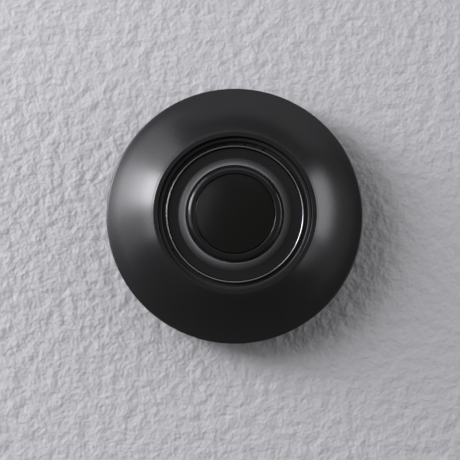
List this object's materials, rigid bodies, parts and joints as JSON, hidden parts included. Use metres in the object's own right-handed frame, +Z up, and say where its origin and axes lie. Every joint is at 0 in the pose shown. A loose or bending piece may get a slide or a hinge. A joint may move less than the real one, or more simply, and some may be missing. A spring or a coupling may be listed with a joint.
{
  "type": "video doorbell",
  "caption": "Round flared wall-mounted doorbell: trumpet-shaped flange, recessed dish with a thin bead, and a sprung round button whose smoked window hides a camera.",
  "frame": {"origin": "centre of the flat back face of the wall plate, on the wall", "axes": "+Y into the wall, -Y towards the visitor, +Z up the wall, +X to the right as the visitor sees it"},
  "size_m": [0.08, 0.0202, 0.08],
  "materials": {
    "gloss_black": "high gloss moulded",
    "satin_black": "fine satin moulded",
    "dark_grey": "fine moulded texture",
    "smoked": "smoked, polished",
    "black_nickel": "polished black nickel",
    "steel": "zinc plated",
    "tin": "tinned sheet",
    "rubber": "moulded silicone",
    "foam": "closed-cell foam",
    "board_green": "solder mask",
    "chip": "moulded epoxy",
    "ivory": "moulded",
    "tantalum": "moulded epoxy",
    "terminal_green": "moulded",
    "glass": "coated, polished"
  },
  "bodies": {
    "unit": {"board_screw_1": "steel", "board_screw_2": "steel", "board_screw_3": "steel", "cable_grommet": "rubber", "camera_connector": "ivory", "capacitor_1": "tantalum", "capacitor_2": "tantalum", "capacitor_3": "tantalum", "flange": "gloss_black", "front_lens": "glass", "housing_screw_1": "steel", "housing_screw_2": "steel", "housing_screw_3": "steel", "housing_screw_4": "steel", "housing_seal": "rubber", "image_sensor": "glass", "infrared_led_1": "ivory", "infrared_led_2": "ivory", "infrared_led_3": "ivory", "infrared_led_4": "ivory", "lens_barrel": "satin_black", "lens_holder": "satin_black", "light_ring": "black_nickel", "main_board": "board_green", "microphone": "tin", "microphone_boot": "rubber", "power_inductor": "chip", "processor": "chip", "radio_shield": "tin", "rear_housing": "dark_grey", "retaining_ring": "satin_black", "ring_led_1": "ivory", "ring_led_2": "ivory", "ring_led_3": "ivory", "ring_led_4": "ivory", "ring_led_5": "ivory", "ring_led_6": "ivory", "security_screw": "black_nickel", "sensor_board": "board_green", "speaker": "satin_black", "speaker_gasket": "foam", "surround": "gloss_black", "switch_left": "chip", "switch_right": "chip", "terminal_block": "terminal_green", "terminal_screw_1": "steel", "terminal_screw_2": "steel", "wall_gasket": "foam", "wall_plate": "dark_grey", "wave_spring": "steel"},
    "button": {"bezel": "gloss_black", "window": "smoked", "window_seal": "foam", "button_carrier": "ivory", "plunger_left": "ivory", "plunger_right": "ivory"}
  },
  "joints": [
    {"name": "button_press", "type": "slide", "parent": "unit", "child": "button", "axis": [0, 1, 0], "range_m": [0, 0.0006], "stiffness_N_per_m": 2500, "springref_m": -0.0006, "deforming": ["wave_spring"]}
  ]
}
